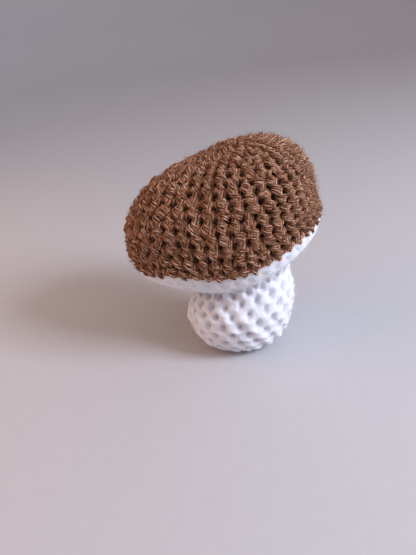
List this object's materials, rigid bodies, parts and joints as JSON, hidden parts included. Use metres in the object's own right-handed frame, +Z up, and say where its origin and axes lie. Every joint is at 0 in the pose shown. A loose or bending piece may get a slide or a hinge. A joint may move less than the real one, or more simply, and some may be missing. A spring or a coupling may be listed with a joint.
{
  "type": "crocheted toy mushroom",
  "caption": "Stuffed crochet mushroom: a tilted brown dome cap with a white underside, sewn to a round white stem with a flat base.",
  "frame": {"origin": "under the middle of the whole mushroom, at the height of the surface that it stands on", "axes": "+Z up, -Y towards the front, +X to the right of a viewer at the front, where the rim of the cap is highest"},
  "size_m": [0.0666, 0.0552, 0.0692],
  "materials": {
    "brown_yarn": "matte",
    "white_yarn": "matte",
    "fibre_fill": "matte"
  },
  "bodies": {
    "root": {"cap_cover": "brown_yarn", "cap_underside": "white_yarn", "cap_stuffing": "fibre_fill", "stem_cover": "white_yarn", "stem_stuffing": "fibre_fill", "joining_yarn": "white_yarn"}
  },
  "joints": []
}
